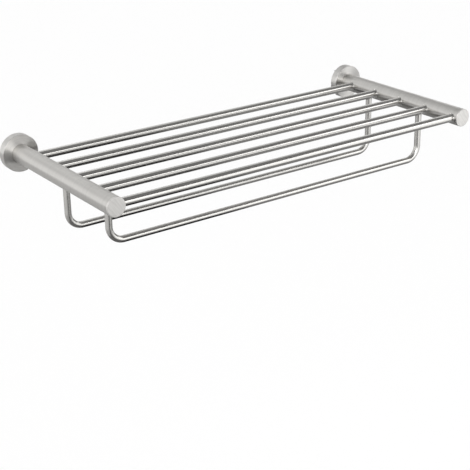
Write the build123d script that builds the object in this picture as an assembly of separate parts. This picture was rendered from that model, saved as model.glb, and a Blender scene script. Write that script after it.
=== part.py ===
from build123d import *
import os

# Towel rack with shelf, for a bathroom wall, in brushed and bright stainless steel.
# Two round arms stand out from two wall flanges and carry five shelf bars.
# Two U-shaped towel rods hang under the second bar from the wall and the second from the front.
# Millimetres. X runs along the shelf, Y points into the wall and Z is up.
# The origin lies on the wall, midway between the arms, at the height of their axes.

# Whole rack
arm_spacing = 560.0        # between the axes of the two arms
arm_reach = 256.0          # from the wall to the arms' front faces
cut_overrun = 1.0          # how far a cutting body runs past what it cuts
bead_bevel_share = 0.7     # bevel of a weld bead, of its leg

# Arms, round tube
arm_diameter = 25.0
arm_wall = 1.5
arm_stub = 1.6             # length of arm inside the flange, past its face plate

# Caps in the arms' front ends
cap_plate = 2.0            # thickness of the disc that shows
cap_chamfer = 0.7
cap_step = 1.8             # length inside the tube
cap_gap = 0.1              # all round, inside the tube

# Shelf bars, round tube
bar_count = 5
bar_diameter = 11.5
bar_wall = 1.0
rear_space = 16.25         # between the flanges' faces and bar 1
front_space = 0.95         # between the last bar and the caps' steps
bar_entry = 4.0            # how far a bar reaches into an arm, from the arm's side
bar_gap = 0.1              # all round, in the holes in the arms
bar_weld_leg = 1.1

# Towel rods, solid round bar bent to a U
rod_diameter = 9.0
rod_side_space = 6.5       # between a leg and the arm beside it
rod_bend = 20.0            # radius of the bends, at the rod's axis
rear_rod_drop = 86.0       # from the bar's axis down to the rod's axis
front_rod_drop = 71.0
rod_gap = 0.05             # between a leg's shaped end and the bar
rod_weld_leg = 0.9
rod_place = 2              # the rods hang from the second bar, counted from either end

# Wall flanges, turned round cups
flange_diameter = 50.0
flange_wall = 2.4
flange_face = 2.4          # thickness of the face plate
flange_chamfer = 0.8       # along the front edge
flange_gap = 0.1           # all round, between the arm and its hole
flange_weld_leg = 1.3

# Wall brackets, grooved discs inside the flanges
bracket_thickness = 5.6
bracket_side_gap = 0.3     # all round, inside the flange
bracket_front_gap = 1.9    # between the bracket and the arm's rear end
groove_land = 1.0          # width of the edge on either side of the groove

# Wall screws, countersunk, with a cross recess
screw_spacing = 22.0
screw_diameter = 4.0       # over the thread
screw_neck_diameter = 3.2
screw_head_diameter = 7.8
screw_in_wall = 22.0       # length past the wall plane
screw_point = 3.5          # length of the pointed end
screw_hole_gap = 0.3       # all round the thread, as it passes the bracket's hole
screw_head_gap = 0.1       # all round, in the countersink
recess_length = 4.2
recess_width = 1.0
recess_depth = 1.4

# Grub screws, cone point, in the underside of the flanges
grub_diameter = 4.0
grub_sunk = 0.5            # how far the screw lies below the flange's surface
grub_gap = 0.1             # all round, in its hole and above the groove
socket_sides = 6
socket_across = 2.0
socket_depth = 1.2

# Worked out from the values above
arm_radius = arm_diameter / 2
arm_bore = arm_radius - arm_wall
bar_radius = bar_diameter / 2
rod_radius = rod_diameter / 2
flange_radius = flange_diameter / 2
flange_bore = flange_radius - flange_wall
arm_rear = -(bracket_thickness + bracket_front_gap)
flange_floor = arm_rear - arm_stub
flange_front = flange_floor - flange_face
bracket_radius = flange_bore - bracket_side_gap
groove_line = -bracket_thickness / 2
groove_depth = bracket_thickness / 2 - groove_land
screw_heights = [-screw_spacing / 2, screw_spacing / 2]
first_bar = flange_front - rear_space - bar_radius
last_bar = -arm_reach + cap_plate + cap_step + front_space + bar_radius
bar_pitch = (first_bar - last_bar) / (bar_count - 1)
bar_lines = [first_bar - n * bar_pitch for n in range(bar_count)]
rod_inset = arm_radius + rod_side_space + rod_radius
sides = {"left": -1, "right": 1}
rods = {
    "rear": (bar_lines[rod_place - 1], rear_rod_drop),
    "front": (bar_lines[-rod_place], front_rod_drop),
}


def along_x(radius, start, end, y):
    """Round bar parallel to X, at the height of the origin."""
    return Pos((start + end) / 2, y, 0) * Rot(0, 90, 0) * Cylinder(radius, abs(end - start))


def along_y(radius, start, end, x):
    """Round bar parallel to Y, at the height of the origin."""
    return Pos(x, (start + end) / 2, 0) * Rot(90, 0, 0) * Cylinder(radius, abs(end - start))


def turned(points):
    """Solid turned about the Y axis, from an outline of (radius, y) points."""
    return revolve(make_face(Polyline(*points, close=True)), Axis.Y)


def arm_x(side):
    """X of an arm's axis."""
    return side * arm_spacing / 2


def arm_tube(side):
    """Tube from inside the flange to the cap, with a hole for each shelf bar."""
    x = arm_x(side)
    front = cap_plate - arm_reach
    tube = along_y(arm_radius, front, arm_rear, x)
    tube -= along_y(arm_bore, front - cut_overrun, arm_rear + cut_overrun, x)
    for y in bar_lines:
        tube -= along_x(bar_radius + bar_gap, x, x - side * (arm_radius + cut_overrun), y)
    return tube


def arm_end_cap(side):
    """Disc with a bevelled rim, and a step that fits the tube."""
    step_radius = arm_bore - cap_gap
    outline = [
        (0, -arm_reach),
        (arm_radius - cap_chamfer, -arm_reach),
        (arm_radius, cap_chamfer - arm_reach),
        (arm_radius, cap_plate - arm_reach),
        (step_radius, cap_plate - arm_reach),
        (step_radius, cap_plate + cap_step - arm_reach),
        (0, cap_plate + cap_step - arm_reach),
    ]
    return Pos(arm_x(side), 0, 0) * turned(outline)


def shelf_bar(y):
    """Tube between the arms, with both ends inside them."""
    half = arm_spacing / 2 - arm_radius + bar_entry
    bore = along_x(bar_radius - bar_wall, -half - cut_overrun, half + cut_overrun, y)
    return along_x(bar_radius, -half, half, y) - bore


def bevelled(plug, leg):
    """Weld metal with its outer edge, where the two round surfaces meet, bevelled."""
    return chamfer(plug.edges().filter_by(GeomType.BSPLINE), leg * bead_bevel_share)


def shelf_weld(side, y):
    """Bead in the corner between an arm's side and a shelf bar."""
    x = arm_x(side)
    reach = arm_radius + bar_weld_leg
    tip = x - side * (reach + cut_overrun)
    half_width = bar_radius + bar_weld_leg + cut_overrun
    plug = along_x(bar_radius + bar_weld_leg, x, tip, y)
    plug &= along_y(reach, y - half_width, y + half_width, x)
    bead = bevelled(plug, bar_weld_leg)
    bead -= along_y(arm_radius, y - half_width, y + half_width, x)
    return bead - along_x(bar_radius, x, tip, y)


def rod_route(y, drop):
    """Axis of a towel rod, from bar to bar."""
    leg_x = arm_spacing / 2 - rod_inset
    corners = [(-leg_x, y, 0), (-leg_x, y, -drop), (leg_x, y, -drop), (leg_x, y, 0)]
    return FilletPolyline(*corners, radius=rod_bend)


def towel_rod(y, drop):
    """Bent rod whose legs end in hollows that fit the bar above."""
    route = rod_route(y, drop)
    rod = sweep(Plane(route @ 0, z_dir=route % 0) * Circle(rod_radius), route)
    return rod - along_x(bar_radius + rod_gap, -arm_spacing / 2, arm_spacing / 2, y)


def rod_weld(side, y):
    """Bead in the corner between a leg and the bar above it."""
    x = side * (arm_spacing / 2 - rod_inset)
    reach = bar_radius + rod_weld_leg
    height = reach + cut_overrun
    half_width = rod_radius + rod_weld_leg + cut_overrun
    plug = Pos(x, y, -height / 2) * Cylinder(rod_radius + rod_weld_leg, height)
    plug &= along_x(reach, x - half_width, x + half_width, y)
    bead = bevelled(plug, rod_weld_leg)
    bead -= along_x(bar_radius, x - half_width, x + half_width, y)
    return bead - Pos(x, y, -height / 2) * Cylinder(rod_radius, height)


def wall_flange(side):
    """Cup that hides the bracket, with a hole for the arm and one for the grub screw."""
    outline = [
        (arm_radius + flange_gap, flange_front),
        (flange_radius - flange_chamfer, flange_front),
        (flange_radius, flange_front + flange_chamfer),
        (flange_radius, 0),
        (flange_bore, 0),
        (flange_bore, flange_floor),
        (arm_radius + flange_gap, flange_floor),
    ]
    hole = Cylinder(grub_diameter / 2 + grub_gap, flange_wall + 2 * cut_overrun)
    cup = turned(outline) - Pos(0, groove_line, -(flange_bore + flange_wall / 2)) * hole
    return Pos(arm_x(side), 0, 0) * cup


def flange_weld(side):
    """Ring in the corner between the arm and the flange, inside the cup."""
    outline = [
        (arm_radius, flange_floor),
        (arm_radius + flange_weld_leg, flange_floor),
        (arm_radius, flange_floor + flange_weld_leg),
    ]
    return Pos(arm_x(side), 0, 0) * turned(outline)


def screw_seat():
    """Space for one wall screw in the bracket."""
    hole = screw_diameter / 2 + screw_hole_gap
    mouth = screw_head_diameter / 2 + screw_head_gap
    outline = [
        (0, cut_overrun),
        (hole, cut_overrun),
        (hole, mouth - hole - bracket_thickness),
        (mouth, -bracket_thickness),
        (mouth, -bracket_thickness - cut_overrun),
        (0, -bracket_thickness - cut_overrun),
    ]
    return turned(outline)


def wall_bracket(side):
    """Disc with a groove round its edge and two countersunk holes."""
    outline = [
        (0, 0),
        (bracket_radius, 0),
        (bracket_radius, -groove_land),
        (bracket_radius - groove_depth, groove_line),
        (bracket_radius, groove_land - bracket_thickness),
        (bracket_radius, -bracket_thickness),
        (0, -bracket_thickness),
    ]
    disc = turned(outline)
    for z in screw_heights:
        disc -= Pos(0, 0, z) * screw_seat()
    return Pos(arm_x(side), 0, 0) * disc


def wall_screw():
    """Countersunk screw with a cross recess, its head flush with the bracket's front."""
    head = screw_head_diameter / 2
    neck = screw_neck_diameter / 2
    shank = screw_diameter / 2
    outline = [
        (0, -bracket_thickness),
        (head, -bracket_thickness),
        (neck, head - neck - bracket_thickness),
        (neck, 0),
        (shank, 0),
        (shank, screw_in_wall - screw_point),
        (0, screw_in_wall),
    ]
    slot_height = recess_depth + cut_overrun
    slot_place = Pos(0, recess_depth - bracket_thickness - slot_height / 2, 0)
    screw = turned(outline) - slot_place * Box(recess_length, slot_height, recess_width)
    return screw - slot_place * Box(recess_width, slot_height, recess_length)


def grub_screw(side):
    """Cone-point set screw, from the groove out to just under the flange's surface."""
    radius = grub_diameter / 2
    point = bracket_radius - groove_depth + grub_gap
    outer = flange_radius - grub_sunk
    outline = [(0, point), (radius, point + radius), (radius, outer), (0, outer)]
    hexagon = RegularPolygon(socket_across / 2, socket_sides, major_radius=False)
    socket = Pos(0, outer, 0) * Rot(90, 0, 0) * extrude(hexagon, socket_depth)
    return Pos(arm_x(side), groove_line, 0) * Rot(-90, 0, 0) * (turned(outline) - socket)


def write(name, *pieces):
    """One file for one node. Several pieces are a group of separate solids."""
    shape = pieces[0] if len(pieces) == 1 else Compound(children=list(pieces))
    export_step(shape, f"parts/{name}.step")


os.makedirs("parts", exist_ok=True)

for side_name, side in sides.items():
    write(f"arm_tube_{side_name}", arm_tube(side))
    write(f"arm_end_cap_{side_name}", arm_end_cap(side))
    write(f"shelf_welds_{side_name}", *[shelf_weld(side, y) for y in bar_lines])
    write(f"wall_flange_{side_name}", wall_flange(side))
    write(f"flange_weld_{side_name}", flange_weld(side))
    write(f"wall_bracket_{side_name}", wall_bracket(side))
    screws = [Pos(arm_x(side), 0, z) * wall_screw() for z in screw_heights]
    write(f"wall_screws_{side_name}", *screws)
    write(f"grub_screw_{side_name}", grub_screw(side))

for number, y in enumerate(bar_lines, start=1):
    write(f"shelf_bar_{number}", shelf_bar(y))

for rod_name, (y, drop) in rods.items():
    write(f"towel_rod_{rod_name}", towel_rod(y, drop))
    write(f"rod_welds_{rod_name}", *[rod_weld(side, y) for side in sides.values()])
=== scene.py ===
import math

import bmesh
import bpy
from mathutils import Matrix, Vector


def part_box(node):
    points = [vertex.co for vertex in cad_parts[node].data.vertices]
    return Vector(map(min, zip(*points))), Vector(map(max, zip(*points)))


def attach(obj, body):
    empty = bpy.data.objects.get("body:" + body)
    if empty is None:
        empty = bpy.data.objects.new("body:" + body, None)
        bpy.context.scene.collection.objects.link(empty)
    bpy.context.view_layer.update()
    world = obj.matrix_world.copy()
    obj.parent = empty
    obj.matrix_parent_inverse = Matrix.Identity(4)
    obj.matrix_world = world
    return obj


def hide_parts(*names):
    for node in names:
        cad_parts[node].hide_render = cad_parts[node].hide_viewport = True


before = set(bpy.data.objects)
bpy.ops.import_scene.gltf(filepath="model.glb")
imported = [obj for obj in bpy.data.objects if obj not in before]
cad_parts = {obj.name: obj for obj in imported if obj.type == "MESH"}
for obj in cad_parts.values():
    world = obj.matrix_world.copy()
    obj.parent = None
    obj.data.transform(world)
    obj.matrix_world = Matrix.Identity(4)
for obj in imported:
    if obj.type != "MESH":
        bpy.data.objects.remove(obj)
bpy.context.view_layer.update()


# The two arms are thick round tubes of stainless steel, ground round and round to a satin
# finish. Each stands out from its flange, and its inner side has holes for the shelf bars.
MM = 0.001
SIDES = {"left": -1, "right": 1}
BAR_NAMES = [f"shelf_bar_{n}" for n in range(1, 6)]
ALONG_Y = Vector((0, 1, 0))
ARM_WALL = 1.5 * MM
ARM_SEGMENTS = 128
BROKEN_EDGE = 0.12 * MM
BEND_NEAR_SHARE = 0.42
BEND_FAR_SHARE = 0.06
FLANK_SHARE = 1.2
HOLE_CLEARANCE = 0.1 * MM
HOLE_SEGMENTS = 64
HOLE_DEPTH = 20 * MM
HOLE_MARGIN = 0.5 * MM
MERGE_GAP = 0.001 * MM
SHARP_ANGLE = math.radians(28)
SATIN = (0.642, 0.630, 0.606)
FINE_DETAIL = 3.0
BROAD_DETAIL = 2.0
NOISE_LOW = 0.3
NOISE_HIGH = 0.7
CLOUD_SCALE = 23.0
CLOUD_GLOSS = 0.02
LINE_DEPTH = 0.05 * MM


def add(tree, kind, sockets=None, **settings):
    """Add a shader node; a socket takes a value, or a link from another node's output."""
    node = tree.nodes.new("ShaderNode" + kind)
    for name, value in settings.items():
        setattr(node, name, value)
    for name, value in (sockets or {}).items():
        if isinstance(value, bpy.types.NodeSocket):
            tree.links.new(value, node.inputs[name])
        else:
            node.inputs[name].default_value = value
    return node


def streaks(tree, vector, scale, detail):
    """Noise drawn out into brush lines, where the scale is small along the brushing."""
    place = add(tree, "Mapping", {"Vector": vector, "Scale": scale})
    noise = add(tree, "TexNoise", {"Vector": place.outputs[0], "Scale": 1.0, "Detail": detail})
    return noise.outputs["Fac"]


def brushed(fine, broad, lean=0.0):
    """Fine and broad brush lines, each with its scale along X, Y and Z. They may lean about Y."""
    def build(tree, position):
        if lean:
            position = add(tree, "Mapping", {"Vector": position, "Rotation": (0, lean, 0)}).outputs[0]
        return (streaks(tree, position, fine, FINE_DETAIL),
                streaks(tree, position, broad, BROAD_DETAIL))
    return build


def spread(tree, value, low, high):
    """Bring a noise value, which stays near a half, into a range."""
    return add(tree, "MapRange", {"Value": value, "From Min": NOISE_LOW, "From Max": NOISE_HIGH,
                                  "To Min": low, "To Max": high}).outputs[0]


def round_about(centre, axis):
    """Direction of brushing that runs round an axis through a point."""
    def build(tree, position):
        outward = add(tree, "VectorMath", {0: position, 1: centre}, operation="SUBTRACT").outputs[0]
        return add(tree, "VectorMath", {0: axis, 1: outward}, operation="CROSS_PRODUCT").outputs[0]
    return build


def steel(name, colour, lines, way=None, *, tint, gloss, relief, anisotropic=0.0, turn=0.0):
    """Bare steel, whose brush lines vary its colour, its gloss and its surface. Its reflections
    are drawn out along or across the way of the brushing."""
    material = bpy.data.materials.new(name)
    material.use_nodes = True
    tree = material.node_tree
    tree.nodes.clear()
    position = add(tree, "TexCoord").outputs["Object"]
    fine, broad = lines(tree, position)
    cloud = add(tree, "TexNoise", {"Vector": position, "Scale": CLOUD_SCALE, "Detail": BROAD_DETAIL})
    shade = add(tree, "Mix", {"Factor": spread(tree, broad, 0.0, 1.0),
                              "A": (*[c * (1 - tint) for c in colour], 1),
                              "B": (*[min(1, c * (1 + tint)) for c in colour], 1)},
                data_type="RGBA")
    shine = add(tree, "Math", {0: spread(tree, fine, *gloss),
                               1: spread(tree, cloud.outputs["Fac"], -CLOUD_GLOSS, CLOUD_GLOSS)},
                operation="ADD")
    bump = add(tree, "Bump", {"Height": fine, "Strength": relief, "Distance": LINE_DEPTH})
    shader = add(tree, "BsdfPrincipled", {
        "Base Color": shade.outputs["Result"], "Metallic": 1.0, "Roughness": shine.outputs[0],
        "Anisotropic": anisotropic, "Anisotropic Rotation": turn, "Normal": bump.outputs[0]})
    if way:
        tree.links.new(way(tree, position), shader.inputs["Tangent"])
    add(tree, "OutputMaterial", {"Surface": shader.outputs[0]})
    return material


def placed(name, bm):
    """Put a mesh into the scene as an object."""
    mesh = bpy.data.meshes.new(name)
    bm.to_mesh(mesh)
    bm.free()
    item = bpy.data.objects.new(name, mesh)
    bpy.context.scene.collection.objects.link(item)
    return item


def new_piece(name, bm, material, *nodes):
    """Finish a mesh as the piece that stands for some nodes."""
    bmesh.ops.remove_doubles(bm, verts=bm.verts, dist=MERGE_GAP)
    bmesh.ops.recalc_face_normals(bm, faces=bm.faces)
    for face in bm.faces:
        face.smooth = True
    for edge in bm.edges:
        edge.smooth = not (edge.is_manifold and edge.calc_face_angle(0) > SHARP_ANGLE)
    piece = placed(name, bm)
    piece.data.materials.append(material)
    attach(piece, "root")
    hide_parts(*nodes)


def softened(corners, sizes):
    """Cut the numbered corners of a closed outline to small bevels, with a point close on each
    side that keeps the faces beside the bevel flat."""
    points = []
    for i, corner in enumerate(corners):
        here = Vector(corner)
        if i not in sizes:
            points.append(tuple(here))
            continue
        before = (Vector(corners[i - 1]) - here).normalized() * sizes[i]
        after = (Vector(corners[(i + 1) % len(corners)]) - here).normalized() * sizes[i]
        steps = (before * FLANK_SHARE, before,
                 before * BEND_NEAR_SHARE + after * BEND_FAR_SHARE,
                 before * BEND_FAR_SHARE + after * BEND_NEAR_SHARE,
                 after, after * FLANK_SHARE)
        points += [tuple(here + step) for step in steps]
    return points


def turned(outline, base, axis, segments, closed=True):
    """Spin an outline of (radius, distance along the axis) points about an axis."""
    across = axis.orthogonal().normalized()
    bm = bmesh.new()
    verts = [bm.verts.new(base + across * radius + axis * along) for radius, along in outline]
    pairs = list(zip(verts, verts[1:])) + ([(verts[-1], verts[0])] if closed else [])
    edges = [bm.edges.new(pair) for pair in pairs]
    bmesh.ops.spin(bm, geom=verts + edges, cent=base, axis=axis, angle=math.tau,
                   steps=segments, use_merge=True)
    bmesh.ops.remove_doubles(bm, verts=bm.verts, dist=MERGE_GAP)
    return bm


def drill(start, end, radius, segments):
    """Plain closed cylinder that cuts a round hole between two points."""
    bm = bmesh.new()
    axis = end - start
    place = Matrix.Translation((start + end) / 2) @ axis.to_track_quat("Z", "Y").to_matrix().to_4x4()
    bmesh.ops.create_cone(bm, cap_ends=True, segments=segments, radius1=radius, radius2=radius,
                          depth=axis.length, matrix=place)
    return bm


def cut_out(bm, cutters):
    """Take the cutters' shapes out of a mesh."""
    bmesh.ops.recalc_face_normals(bm, faces=bm.faces)
    body = placed("uncut", bm)
    tools = []
    for cutter in cutters:
        bmesh.ops.recalc_face_normals(cutter, faces=cutter.faces)
        tools.append(placed("cutter", cutter))
        cut = body.modifiers.new("cut", "BOOLEAN")
        cut.operation = "DIFFERENCE"
        cut.solver = "EXACT"
        cut.object = tools[-1]
    shown = body.evaluated_get(bpy.context.evaluated_depsgraph_get())
    result = bmesh.new()
    result.from_mesh(shown.to_mesh())
    for leftover in [body, *tools]:
        bpy.data.objects.remove(leftover)
    return result


def round_place(low, high):
    """Radius of a piece that is round about a line along Y, and where that line meets the wall."""
    return (high.x - low.x) / 2, Vector(((low.x + high.x) / 2, 0, (low.z + high.z) / 2))


ARM_LINES = brushed(fine=(60, 2800, 60), broad=(14, 260, 14))
bar_boxes = [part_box(name) for name in BAR_NAMES]
bar_radius = (bar_boxes[0][1].z - bar_boxes[0][0].z) / 2
bar_places = [(low.y + high.y) / 2 for low, high in bar_boxes]
hole_radius = bar_radius + HOLE_CLEARANCE

for side_name, side in SIDES.items():
    low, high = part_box(f"arm_tube_{side_name}")
    radius, centre = round_place(low, high)
    corners = [(radius - ARM_WALL, low.y), (radius, low.y),
               (radius, high.y), (radius - ARM_WALL, high.y)]
    bm = turned(softened(corners, {1: BROKEN_EDGE, 2: BROKEN_EDGE}), centre, ALONG_Y, ARM_SEGMENTS)
    # A ring on each side of a hole keeps the long faces between the holes whole.
    for y in bar_places:
        for ring in (y - hole_radius - HOLE_MARGIN, y + hole_radius + HOLE_MARGIN):
            bmesh.ops.bisect_plane(bm, geom=bm.verts[:] + bm.edges[:] + bm.faces[:],
                                   plane_co=(0, ring, 0), plane_no=ALONG_Y)
    drills = [drill(Vector((centre.x, y, 0)), Vector((centre.x - side * HOLE_DEPTH, y, 0)),
                    hole_radius, HOLE_SEGMENTS) for y in bar_places]
    finish = steel(f"arm_steel_{side_name}", SATIN, ARM_LINES, round_about(centre, ALONG_Y),
                   tint=0.04, gloss=(0.33, 0.39), relief=0.06, anisotropic=0.80, turn=0.25)
    new_piece(f"arm_{side_name}", cut_out(bm, drills), finish, f"arm_tube_{side_name}")


# Each arm is closed by a turned cap, a disc with a bevelled rim and a step inside the tube.
# It is fixed flush with the tube, so that only a hairline shows where they meet. The cap was
# brushed straight across, and its short lines lean to one side.
CAP_BEVEL = 0.7 * MM
CAP_PLATE = 2.0 * MM
CAP_STEP_RADIUS = 10.9 * MM
# A paler satin for the caps. On the flanges it is painted light: they are the same steel as the arms,
# painted paler to make up for the light that the arm keeps off the cup's face.
PALE_SATIN = (0.722, 0.710, 0.688)
CAP_LEAN = math.radians(35)
CAP_LINES = brushed(fine=(2600, 300, 160), broad=(500, 300, 60), lean=CAP_LEAN)


def straight_across(direction):
    """Direction of brushing that is the same all over a piece."""
    def build(tree, position):
        return add(tree, "CombineXYZ", dict(zip("XYZ", direction))).outputs[0]
    return build


for side_name in SIDES:
    low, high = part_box(f"arm_end_cap_{side_name}")
    radius, centre = round_place(low, high)
    corners = [(0, low.y), (radius, low.y), (radius, low.y + CAP_PLATE),
               (CAP_STEP_RADIUS, low.y + CAP_PLATE), (CAP_STEP_RADIUS, high.y), (0, high.y)]
    outline = softened(corners, {1: CAP_BEVEL, 2: BROKEN_EDGE})
    bm = turned(outline, centre, ALONG_Y, ARM_SEGMENTS, closed=False)
    finish = steel(f"cap_steel_{side_name}", PALE_SATIN, CAP_LINES,
                   straight_across((math.cos(CAP_LEAN), 0, -math.sin(CAP_LEAN))),
                   tint=0.07, gloss=(0.33, 0.42), relief=0.06, anisotropic=0.35)
    new_piece(f"end_cap_{side_name}", bm, finish, f"arm_end_cap_{side_name}")


# The shelf is five round tubes of bright stainless steel, ground round and round between
# wheels, so their fine lines run round the bar and each lamp shows as a crisp long band.
BAR_WALL = 1.0 * MM
BAR_SEGMENTS = 96
ALONG_X = Vector((1, 0, 0))
BRIGHT = (0.702, 0.690, 0.666)
BAR_LINES = brushed(fine=(2400, 60, 60), broad=(160, 12, 12))

for name, (low, high) in zip(BAR_NAMES, bar_boxes):
    centre = Vector((0, (low.y + high.y) / 2, (low.z + high.z) / 2))
    corners = [(bar_radius - BAR_WALL, low.x), (bar_radius, low.x),
               (bar_radius, high.x), (bar_radius - BAR_WALL, high.x)]
    bm = turned(softened(corners, {1: BROKEN_EDGE, 2: BROKEN_EDGE}), centre, ALONG_X, BAR_SEGMENTS)
    finish = steel(f"{name}_steel", BRIGHT, BAR_LINES, round_about(centre, ALONG_X),
                   tint=0.02, gloss=(0.17, 0.20), relief=0.02, anisotropic=0.75, turn=0.25)
    new_piece(name.replace("shelf_bar", "bar"), bm, finish, name)


# The towel rods are solid round bar, bent cold to a wide U and polished all over. The top of
# each leg is hollowed to fit the underside of its shelf bar, and is welded there.
ROD_BEND = 20 * MM
ROD_SEGMENTS = 64
BEND_STEPS = 24
QUARTER_TURN = -math.pi / 2
SEAT_CLEARANCE = 0.05 * MM
DOWN = Vector((0, 0, -1))
UP = Vector((0, 0, 1))
ROD_LINES = brushed(fine=(900, 900, 900), broad=(90, 90, 90))


def along_rod(tree, position):
    """Direction that follows the rod round its bends, kept on the mesh."""
    return add(tree, "Attribute", attribute_name="rod_way").outputs["Vector"]


def grown(bm, edges):
    """Extrude a ring, and give the new ring's points and edges."""
    geometry = bmesh.ops.extrude_edge_only(bm, edges=edges)["geom"]
    return ([g for g in geometry if isinstance(g, bmesh.types.BMVert)],
            [g for g in geometry if isinstance(g, bmesh.types.BMEdge)])


def pushed(bm, edges, step, heading):
    """Carry a ring straight on, and give it its direction."""
    verts, edges = grown(bm, edges)
    bmesh.ops.translate(bm, verts=verts, vec=step)
    for vert in verts:
        vert[bm.verts.layers.float_vector["rod_way"]] = heading
    return verts, edges


def bent(bm, edges, pivot, heading):
    """Carry a ring round a quarter bend, in steps, where it sets out with a heading."""
    for n in range(1, BEND_STEPS + 1):
        verts, edges = grown(bm, edges)
        bmesh.ops.rotate(bm, verts=verts, cent=pivot,
                         matrix=Matrix.Rotation(QUARTER_TURN / BEND_STEPS, 3, "Y"))
        for vert in verts:
            turned_heading = Matrix.Rotation(QUARTER_TURN * n / BEND_STEPS, 3, "Y") @ heading
            vert[bm.verts.layers.float_vector["rod_way"]] = turned_heading
    return edges


def close_ends(bm):
    """Fill every open end of a mesh."""
    bmesh.ops.holes_fill(bm, edges=[e for e in bm.edges if e.is_boundary], sides=0)


for rod in ("rear", "front"):
    low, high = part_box(f"towel_rod_{rod}")
    radius = (high.y - low.y) / 2
    bar_y = (low.y + high.y) / 2
    leg_x = low.x + radius
    bend_x = leg_x + ROD_BEND
    bend_z = low.z + radius + ROD_BEND
    bm = bmesh.new()
    rod_way = bm.verts.layers.float_vector.new("rod_way")
    top = Matrix.Translation((leg_x, bar_y, 0)) @ Matrix.Rotation(math.pi, 4, "X")
    first_ring = bmesh.ops.create_circle(bm, segments=ROD_SEGMENTS, radius=radius, matrix=top)["verts"]
    for vert in first_ring:
        vert[rod_way] = DOWN
    loop = pushed(bm, bm.edges[:], (0, 0, bend_z), DOWN)[1]
    loop = bent(bm, loop, (bend_x, bar_y, bend_z), DOWN)
    loop = pushed(bm, loop, (-2 * bend_x, 0, 0), ALONG_X)[1]
    loop = bent(bm, loop, (-bend_x, bar_y, bend_z), ALONG_X)
    last_ring = pushed(bm, loop, (0, 0, -bend_z), UP)[0]
    seat = bar_radius + SEAT_CLEARANCE
    for vert in first_ring + last_ring:
        vert.co.z = -math.sqrt(seat ** 2 - (vert.co.y - bar_y) ** 2)
    close_ends(bm)
    finish = steel(f"rod_steel_{rod}", BRIGHT, ROD_LINES, along_rod,
                   tint=0.02, gloss=(0.17, 0.20), relief=0.02, anisotropic=0.75)
    new_piece(f"rod_{rod}", bm, finish, f"towel_rod_{rod}")


# A fillet of weld runs round each bar where it enters an arm, and round each leg where it
# meets its bar. The beads are small, dressed and bright, with faint ripples from the welding.
ARM_BEAD = 1.05 * MM
LEG_BEAD = 0.85 * MM
BEAD_SEGMENTS = 72
BEAD_RIPPLES = 18
BEAD_RIPPLE_SHARE = 0.03
BEAD_OUTLINE_SHARES = [(0.0, 1.0), (0.12, 0.74), (0.30, 0.46), (0.52, 0.25), (0.78, 0.09),
                       (1.0, 0.0), (1.0, -0.1), (0.0, -0.3)]
WELD_LINES = brushed(fine=(1400, 1400, 1400), broad=(260, 260, 260))


def take_in(bm, part):
    """Add one mesh to another."""
    mesh = bpy.data.meshes.new("part")
    part.to_mesh(mesh)
    part.free()
    bm.from_mesh(mesh)
    bpy.data.meshes.remove(mesh)


def bead(bm, foot, axis, inner, leg, host_radius, host_axis):
    """Ring of weld round a bar, laid on the round side of the piece that the bar meets."""
    ring = turned([(inner + leg * out, leg * up) for out, up in BEAD_OUTLINE_SHARES],
                  foot, axis, BEAD_SEGMENTS)
    across = axis.orthogonal().normalized()
    other = axis.cross(across)
    level = axis.cross(host_axis)
    for vert in ring.verts:
        spot = vert.co - foot
        height = spot.dot(axis)
        flat = spot - axis * height
        angle = math.atan2(flat.dot(other), flat.dot(across))
        swell = 1 + BEAD_RIPPLE_SHARE * (math.cos(BEAD_RIPPLES * angle) - 1)
        flat = flat.normalized() * (inner + (flat.length - inner) * swell)
        rise = math.sqrt(host_radius ** 2 - flat.dot(level) ** 2)
        vert.co = foot + flat + axis * (rise + height * swell)
    take_in(bm, ring)


def weld_steel(name):
    """Bright dressed weld."""
    return steel(name, BRIGHT, WELD_LINES, tint=0.06, gloss=(0.12, 0.18), relief=0.08)


arm_low, arm_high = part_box("arm_tube_left")
arm_radius = (arm_high.x - arm_low.x) / 2

for side_name, side in SIDES.items():
    low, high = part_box(f"arm_tube_{side_name}")
    bm = bmesh.new()
    for y in bar_places:
        bead(bm, Vector(((low.x + high.x) / 2, y, 0)), Vector((-side, 0, 0)), bar_radius, ARM_BEAD,
             arm_radius, ALONG_Y)
    new_piece(f"arm_welds_{side_name}", bm, weld_steel(f"weld_steel_{side_name}"),
              f"shelf_welds_{side_name}")

for rod in ("rear", "front"):
    low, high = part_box(f"towel_rod_{rod}")
    radius = (high.y - low.y) / 2
    bm = bmesh.new()
    for x in (low.x + radius, high.x - radius):
        bead(bm, Vector((x, (low.y + high.y) / 2, 0)), DOWN, radius, LEG_BEAD, bar_radius, ALONG_X)
    new_piece(f"leg_welds_{rod}", bm, weld_steel(f"rod_weld_steel_{rod}"), f"rod_welds_{rod}")


# The flanges are round cups, turned on a lathe, so their brushing runs in circles and each
# lamp spreads over the face as a fan. A small hole below takes the screw that locks the cup.
FLANGE_WALL = 2.4 * MM
FLANGE_FACE = 2.4 * MM
FLANGE_BEVEL = 0.8 * MM
RIM_BEVEL = 0.3 * MM
RIM_INNER_BEVEL = 0.2 * MM
FLANGE_SEGMENTS = 160
ARM_CLEARANCE = 0.1 * MM
GRUB_HOLE_RADIUS = 2.1 * MM
GRUB_HOLE_SEGMENTS = 48
GRUB_DRILL_START = 1 * MM
GRUB_DRILL_DEPTH = 5 * MM
LATHE_FINE = (2600, 3.0)
LATHE_BROAD = (500, 0.8)


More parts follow.
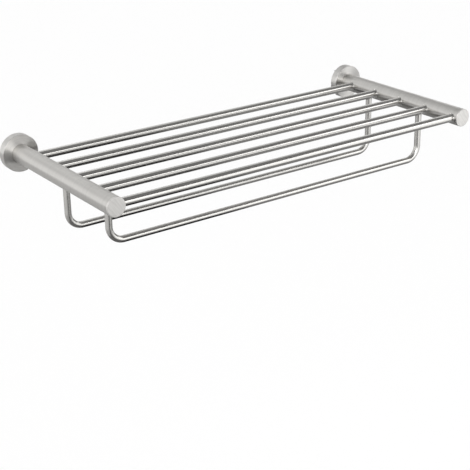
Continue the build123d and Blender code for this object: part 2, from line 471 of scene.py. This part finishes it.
def turned_lines(centre):
    """Lathe lines round an axis along Y. Each kind has a scale outward and a scale round."""
    def build(tree, position):
        outward = add(tree, "VectorMath", {0: position, 1: centre}, operation="SUBTRACT").outputs[0]
        flat = add(tree, "VectorMath", {0: outward, 1: (1, 0, 1)}, operation="MULTIPLY").outputs[0]
        radius = add(tree, "VectorMath", {0: flat}, operation="LENGTH").outputs["Value"]
        bearing = add(tree, "VectorMath", {0: flat}, operation="NORMALIZE").outputs[0]
        parts = add(tree, "SeparateXYZ", {0: bearing}).outputs
        depth = add(tree, "SeparateXYZ", {0: outward}).outputs["Y"]
        travel = add(tree, "Math", {0: radius, 1: depth}, operation="SUBTRACT").outputs[0]
        results = []
        for across, along in (LATHE_FINE, LATHE_BROAD):
            lines = add(tree, "Math", {0: travel, 1: across}, operation="MULTIPLY").outputs[0]
            spot = add(tree, "CombineXYZ", {"X": lines, "Y": parts["X"], "Z": parts["Z"]}).outputs[0]
            results.append(streaks(tree, spot, (1, along, along), BROAD_DETAIL))
        return results
    return build


for side_name in SIDES:
    low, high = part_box(f"wall_flange_{side_name}")
    radius, centre = round_place(low, high)
    arm_hole = arm_radius + ARM_CLEARANCE
    corners = [(arm_hole, low.y), (radius, low.y), (radius, high.y), (radius - FLANGE_WALL, high.y),
               (radius - FLANGE_WALL, low.y + FLANGE_FACE), (arm_hole, low.y + FLANGE_FACE)]
    outline = softened(corners, {0: BROKEN_EDGE, 1: FLANGE_BEVEL, 2: RIM_BEVEL, 3: RIM_INNER_BEVEL})
    bm = turned(outline, centre, ALONG_Y, FLANGE_SEGMENTS)
    grub_low, grub_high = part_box(f"grub_screw_{side_name}")
    grub = (grub_low + grub_high) / 2
    grub_drill = drill(Vector((grub.x, grub.y, -radius - GRUB_DRILL_START)),
                       Vector((grub.x, grub.y, -radius + GRUB_DRILL_DEPTH)),
                       GRUB_HOLE_RADIUS, GRUB_HOLE_SEGMENTS)
    # Painted light: the flange face takes the paler satin instead of the arms' own, to stand in for
    # the light that the arm blocks from it.
    finish = steel(f"flange_steel_{side_name}", PALE_SATIN, turned_lines(centre),
                   round_about(centre, ALONG_Y),
                   tint=0.05, gloss=(0.31, 0.36), relief=0.05, anisotropic=1.0, turn=0.25)
    new_piece(f"flange_{side_name}", cut_out(bm, [grub_drill]), finish, f"wall_flange_{side_name}")


# Behind each flange sits a grooved disc of plain turned steel, screwed to the wall. Its groove
# takes the point of the dark locking screw. The arm's weld inside the cup is left as laid.
PLAIN = (0.56, 0.56, 0.55)
DARK = (0.10, 0.10, 0.105)

for side_name in SIDES:
    low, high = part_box(f"wall_bracket_{side_name}")
    centre = (low + high) / 2
    finish = steel(f"bracket_steel_{side_name}", PLAIN, turned_lines(centre),
                   round_about(centre, ALONG_Y),
                   tint=0.08, gloss=(0.3, 0.45), relief=0.2, anisotropic=0.5, turn=0.25)
    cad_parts[f"wall_bracket_{side_name}"].data.materials[0] = finish
    inner_weld = steel(f"inner_weld_{side_name}", PLAIN, WELD_LINES,
                       tint=0.08, gloss=(0.3, 0.45), relief=0.2)
    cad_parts[f"flange_weld_{side_name}"].data.materials[0] = inner_weld
    grub_steel = steel(f"grub_steel_{side_name}", DARK, WELD_LINES,
                       tint=0.1, gloss=(0.3, 0.4), relief=0.1)
    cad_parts[f"grub_screw_{side_name}"].data.materials[0] = grub_steel


# Two countersunk steel screws hold each disc. Their coarse rolled threads run to a sharp
# point, and their heads have a cross recess.
SCREW_SEGMENTS = 40
SCREW_HEAD = 3.9 * MM
SCREW_NECK = 1.6 * MM
SHANK_START = 1.0 * MM
RECESS_SPAN = 4.2 * MM
RECESS_WIDTH = 1.0 * MM
RECESS_DEPTH = 1.4 * MM
THREAD_CREST = 2.0 * MM
THREAD_ROOT = 1.36 * MM
THREAD_PITCH = 1.8 * MM
THREAD_MERGE_GAP = 0.005 * MM
POINT_LENGTH = 3.5 * MM
POINT_SHARE = 0.02


def screw_head(axis_point, head_y):
    """Countersunk head and neck, with a cross recess."""
    head_end = head_y + SCREW_HEAD - SCREW_NECK
    outline = [(0, head_y), (SCREW_HEAD, head_y), (SCREW_NECK, head_end),
               (SCREW_NECK, SHANK_START), (0, SHANK_START)]
    blank = turned(outline, axis_point, ALONG_Y, SCREW_SEGMENTS, closed=False)
    place = Matrix.Translation(axis_point + Vector((0, head_y, 0)))
    slots = []
    for wide, tall in ((RECESS_SPAN, RECESS_WIDTH), (RECESS_WIDTH, RECESS_SPAN)):
        slot = bmesh.new()
        size = Matrix.Diagonal((wide, 2 * RECESS_DEPTH, tall, 1))
        bmesh.ops.create_cube(slot, size=1, matrix=place @ size)
        slots.append(slot)
    return cut_out(blank, slots)


def screw_thread(axis_point, tip_y):
    """Threaded shank, wound from the outline of one pitch and drawn in to a point."""
    outline = [(THREAD_ROOT, 0.0), (THREAD_ROOT, 0.55), (THREAD_CREST, 0.75), (THREAD_CREST, 0.82),
               (THREAD_ROOT, 1.0)]
    turns = int(tip_y / THREAD_PITCH)
    length = (turns + 1) * THREAD_PITCH
    thread = bmesh.new()
    verts = [thread.verts.new(axis_point + Vector((radius, pitch_share * THREAD_PITCH, 0)))
             for radius, pitch_share in outline]
    edges = [thread.edges.new(pair) for pair in zip(verts, verts[1:])]
    bmesh.ops.spin(thread, geom=verts + edges, cent=axis_point, axis=ALONG_Y,
                   dvec=ALONG_Y * THREAD_PITCH / SCREW_SEGMENTS, angle=math.tau * turns,
                   steps=SCREW_SEGMENTS * turns)
    bmesh.ops.remove_doubles(thread, verts=thread.verts, dist=THREAD_MERGE_GAP)
    for vert in thread.verts:
        offset = vert.co - axis_point
        taper = min(1.0, max(POINT_SHARE, (length - offset.y) / POINT_LENGTH))
        start = min(1.0, max(0.0, offset.y / THREAD_PITCH))
        flat = Vector((offset.x, 0, offset.z))
        reach = (THREAD_ROOT + (flat.length - THREAD_ROOT) * start) * taper
        vert.co = axis_point + flat.normalized() * reach + ALONG_Y * (offset.y * tip_y / length)
    close_ends(thread)
    return thread


for side_name in SIDES:
    low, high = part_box(f"wall_screws_{side_name}")
    centre = (low + high) / 2
    bm = bmesh.new()
    for z in (low.z + SCREW_HEAD, high.z - SCREW_HEAD):
        take_in(bm, screw_head(Vector((centre.x, 0, z)), low.y))
        take_in(bm, screw_thread(Vector((centre.x, 0, z)), high.y))
    finish = steel(f"screw_steel_{side_name}", PLAIN, WELD_LINES,
                   tint=0.06, gloss=(0.25, 0.35), relief=0.1)
    new_piece(f"screws_{side_name}", bm, finish, f"wall_screws_{side_name}")


# The rack hangs in a white studio, high above a plain pale floor. The floor is so wide that
# its far edge blends into the white.
FLOOR_Z = -1.5
FLOOR_SIZE = 25
FLOOR_PAINT = (0.99, 0.99, 0.99, 1)
FLOOR_ROUGHNESS = 0.9
WHITE = (1, 1, 1, 1)

floor_bm = bmesh.new()
bmesh.ops.create_grid(floor_bm, x_segments=1, y_segments=1, size=FLOOR_SIZE,
                      matrix=Matrix.Translation((0, 0, FLOOR_Z)))
floor = placed("floor", floor_bm)
floor_paint = bpy.data.materials.new("floor_paint")
floor_paint.use_nodes = True
paint = floor_paint.node_tree.nodes["Principled BSDF"].inputs
paint["Base Color"].default_value = FLOOR_PAINT
paint["Roughness"].default_value = FLOOR_ROUGHNESS
floor.data.materials.append(floor_paint)

world = bpy.data.worlds.new("studio")
world.use_nodes = True
studio = world.node_tree.nodes["Background"].inputs
studio["Color"].default_value = WHITE
studio["Strength"].default_value = 1.0
bpy.context.scene.world = world


# Glowing panels stand close round the rack, as soft light is built up for polished metal.
# Dark gaps between bright panels give each round bar its dark bands. Only reflections show
# them. A panel's two spans are in metres, and a brightness of 1 is white.
OVER = 1.0
UNDER = -0.3
BEHIND = 1.6
BEFORE = -2.4
LEFT = -2.0
RIGHT = 2.4
OVER_PANELS = (
    ("over_left_near", (LEFT, -0.4), (BEFORE, -1.6), 2.6),
    ("over_left", (LEFT, 0.0), (-1.6, 0.0), 0.40),
    ("over_left_far", (LEFT, -0.4), (0.0, BEHIND), 0.88),
    ("over_near_strip", (-0.4, 0.0), (BEFORE, -1.6), 0.40),
    ("over_near", (0.0, 1.2), (BEFORE, -1.2), 0.05),
    ("over_dark", (0.0, 1.6), (-1.2, 0.2), 0.20),
    ("over_dark_far", (0.8, 1.6), (0.2, 0.4), 0.20),
    ("over_right_rear", (0.8, 1.6), (0.4, BEHIND), 0.62),
    ("over_far_strip", (-0.4, 0.0), (0.0, 0.2), 0.20),
    ("over_far", (-0.4, 0.8), (0.2, 1.2), 0.65),
    ("over_farthest", (-0.4, 0.8), (1.2, BEHIND), 2.0),
    ("over_right_near", (1.2, RIGHT), (BEFORE, -1.2), 2.2),
    ("over_right", (1.6, RIGHT), (-1.2, 0.4), 1.3),
    ("over_right_far", (1.6, RIGHT), (0.4, BEHIND), 0.4),
)
BEHIND_PANELS = (
    ("behind_left", (LEFT, -0.9), (UNDER, OVER), 1.15),
    ("behind_middle", (-0.9, 0.2), (UNDER, OVER), 0.70),
    ("behind_low", (0.2, 1.85), (UNDER, 0.35), 0.80),
    ("behind_high", (0.2, 1.85), (0.35, OVER), 0.72),
    ("behind_right", (1.85, RIGHT), (UNDER, OVER), 1.6),
)
BEFORE_PANELS = (
    ("before_left", (LEFT, 0.2), (-0.1, OVER), 2.3),
    ("before_middle", (0.2, 0.9), (-0.1, 0.35), 1.45),
    ("before_bright", (0.2, 0.9), (0.35, OVER), 2.3),
    ("before_right", (0.9, RIGHT), (-0.1, OVER), 1.45),
    ("before_low", (LEFT, RIGHT), (UNDER, -0.1), 0.70),
)
SIDE_PANELS = (
    ("left_side", LEFT, (BEFORE, BEHIND), 1.0),
    ("right_side", RIGHT, (BEFORE, -1.0), 1.35),
    ("right_far", RIGHT, (-1.0, BEHIND), 0.15),
)
UNDER_PANELS = (
    ("under_left_near", (LEFT, -0.5), (BEFORE, -0.75), 0.50),
    ("under_left_strip", (-0.5, -0.15), (BEFORE, -0.75), 0.05),
    ("under_left", (LEFT, -0.7), (-0.75, 0.0), 0.66),
    ("under_left_inner", (-0.7, -0.4), (-0.75, 0.0), 0.42),
    ("under_left_far", (LEFT, -0.15), (0.0, BEHIND), 0.62),
    ("under_middle_near", (-0.4, -0.15), (-0.75, -0.4), 0.12),
    ("under_middle", (-0.4, -0.15), (-0.4, 0.0), 0.15),
    ("under_dark_near", (-0.15, 0.1), (-0.75, -0.4), 0.27),
    ("under_dark", (-0.15, 0.1), (-0.4, 0.0), 0.02),
    ("under_dark_far", (-0.15, 0.1), (0.0, BEHIND), 0.0),
    ("under_right", (0.1, 0.6), (-0.75, BEHIND), 0.26),
    ("under_far_right", (0.6, RIGHT), (-0.75, BEHIND), 0.68),
    ("under_near_strip", (-0.15, 0.1), (-1.3, -0.75), 0.55),
    ("under_near", (0.1, RIGHT), (-1.3, -0.75), 1.0),
    ("under_nearest", (-0.15, RIGHT), (BEFORE, -1.3), 1.65),
)


def panel(name, low, high, brightness):
    """Flat panel between two corners that glows evenly."""
    low, high = Vector(low), Vector(high)
    span = high - low
    across, along = [axis for axis in range(3) if span[axis] > 0]
    board_bm = bmesh.new()
    bmesh.ops.create_grid(board_bm, x_segments=1, y_segments=1, size=0.5)
    for vert in board_bm.verts:
        spot = (low + high) / 2
        spot[across] += vert.co.x * span[across]
        spot[along] += vert.co.y * span[along]
        vert.co = spot
    board = placed(name, board_bm)
    board.visible_camera = False
    board.visible_diffuse = False
    board.visible_shadow = False
    glow = bpy.data.materials.new(name)
    glow.use_nodes = True
    glow.node_tree.nodes.clear()
    light = add(glow.node_tree, "Emission", {"Color": WHITE, "Strength": brightness})
    add(glow.node_tree, "OutputMaterial", {"Surface": light.outputs[0]})
    board.data.materials.append(glow)


for name, x, y, brightness in OVER_PANELS:
    panel(name, (x[0], y[0], OVER), (x[1], y[1], OVER), brightness)
for name, x, z, brightness in BEHIND_PANELS:
    panel(name, (x[0], BEHIND, z[0]), (x[1], BEHIND, z[1]), brightness)
for name, x, z, brightness in BEFORE_PANELS:
    panel(name, (x[0], BEFORE, z[0]), (x[1], BEFORE, z[1]), brightness)
for name, x, y, brightness in SIDE_PANELS:
    panel(name, (x, y[0], UNDER), (x, y[1], OVER), brightness)
for name, x, y, brightness in UNDER_PANELS:
    panel(name, (x[0], y[0], UNDER), (x[1], y[1], UNDER), brightness)


# The camera stands in front and to the left of the rack and looks down on it. Its place,
# angles and lens put the rack where the photograph, which is 470 pixels wide, has it.
PHOTO_WIDTH_PIXELS = 470
FOCUS_PIXELS = 1171.3
CAMERA_PLACE = Vector((-0.8941, -1.3531, 0.4856))
CAMERA_YAW = math.radians(35.406)
CAMERA_PITCH = math.radians(22.673)
CAMERA_ROLL = math.radians(-0.916)
CAMERA_SENSOR = 36
CAMERA_REACH = 100

ahead = Vector((math.sin(CAMERA_YAW) * math.cos(CAMERA_PITCH),
                math.cos(CAMERA_YAW) * math.cos(CAMERA_PITCH), -math.sin(CAMERA_PITCH)))
right = ahead.cross(UP).normalized()
up = right.cross(ahead)
rolled_right = right * math.cos(CAMERA_ROLL) + up * math.sin(CAMERA_ROLL)
rolled_up = up * math.cos(CAMERA_ROLL) - right * math.sin(CAMERA_ROLL)
lens = bpy.data.cameras.new("camera")
lens.sensor_width = CAMERA_SENSOR
lens.lens = FOCUS_PIXELS / PHOTO_WIDTH_PIXELS * CAMERA_SENSOR
lens.clip_end = CAMERA_REACH
camera = bpy.data.objects.new("camera", lens)
turn = Matrix((rolled_right, rolled_up, -ahead)).transposed().to_4x4()
camera.matrix_world = Matrix.Translation(CAMERA_PLACE) @ turn
bpy.context.scene.collection.objects.link(camera)
bpy.context.scene.camera = camera
bpy.context.scene.view_settings.view_transform = "Standard"
